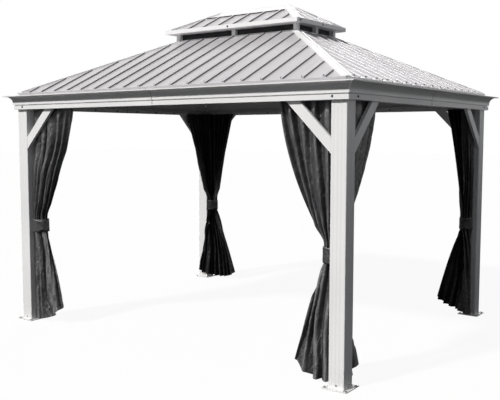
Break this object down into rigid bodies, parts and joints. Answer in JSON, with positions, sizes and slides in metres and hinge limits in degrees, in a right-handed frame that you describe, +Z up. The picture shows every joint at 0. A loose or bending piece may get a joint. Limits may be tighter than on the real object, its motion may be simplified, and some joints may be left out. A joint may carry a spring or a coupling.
{
  "type": "metal gazebo",
  "caption": "Open-sided rectangular metal gazebo with a two-tier hipped roof of ribbed panels, square posts, diagonal braces, moulded beams and tied-back curtains.",
  "frame": {"origin": "centre of the plan at ground level, under the base plates", "axes": "+X along the long side to the right, +Y from the front to the back, +Z up"},
  "size_m": [3.598, 2.918, 2.8848],
  "materials": {
    "frame_white": "white powder coat, satin",
    "roof_sheet": "pale grey coated steel sheet",
    "rail": "mill finish extrusion",
    "inner_frame": "white powder coat, satin",
    "curtain_cloth": "woven polyester",
    "tie_cloth": "woven polyester strap"
  },
  "bodies": {
    "root": {"post_front_left": "frame_white", "post_front_right": "frame_white", "post_back_left": "frame_white", "post_back_right": "frame_white", "base_plate_front_left": "frame_white", "base_plate_front_right": "frame_white", "base_plate_back_left": "frame_white", "base_plate_back_right": "frame_white", "front_beam": "frame_white", "right_beam": "frame_white", "back_beam": "frame_white", "left_beam": "frame_white", "braces_front_left": "frame_white", "braces_front_right": "frame_white", "braces_back_left": "frame_white", "braces_back_right": "frame_white", "curtain_tracks": "rail", "corner_brackets": "inner_frame", "lower_roof_front": "roof_sheet", "lower_roof_right": "roof_sheet", "lower_roof_back": "roof_sheet", "lower_roof_left": "roof_sheet", "lower_eave_trims": "roof_sheet", "lower_hip_cap_front_left": "frame_white", "lower_hip_cap_front_right": "frame_white", "lower_hip_cap_back_left": "frame_white", "lower_hip_cap_back_right": "frame_white", "hip_rafters": "inner_frame", "mid_rafters": "inner_frame", "cupola_ring": "frame_white", "vent_posts": "frame_white", "upper_eave_frame": "frame_white", "upper_roof_front": "roof_sheet", "upper_roof_right": "roof_sheet", "upper_roof_back": "roof_sheet", "upper_roof_left": "roof_sheet", "upper_hip_caps": "frame_white", "ridge_cap": "frame_white", "curtain_front_left": "curtain_cloth", "curtain_front_right": "curtain_cloth", "curtain_back_left": "curtain_cloth", "curtain_back_right": "curtain_cloth", "curtain_ties": "tie_cloth"}
  },
  "joints": []
}
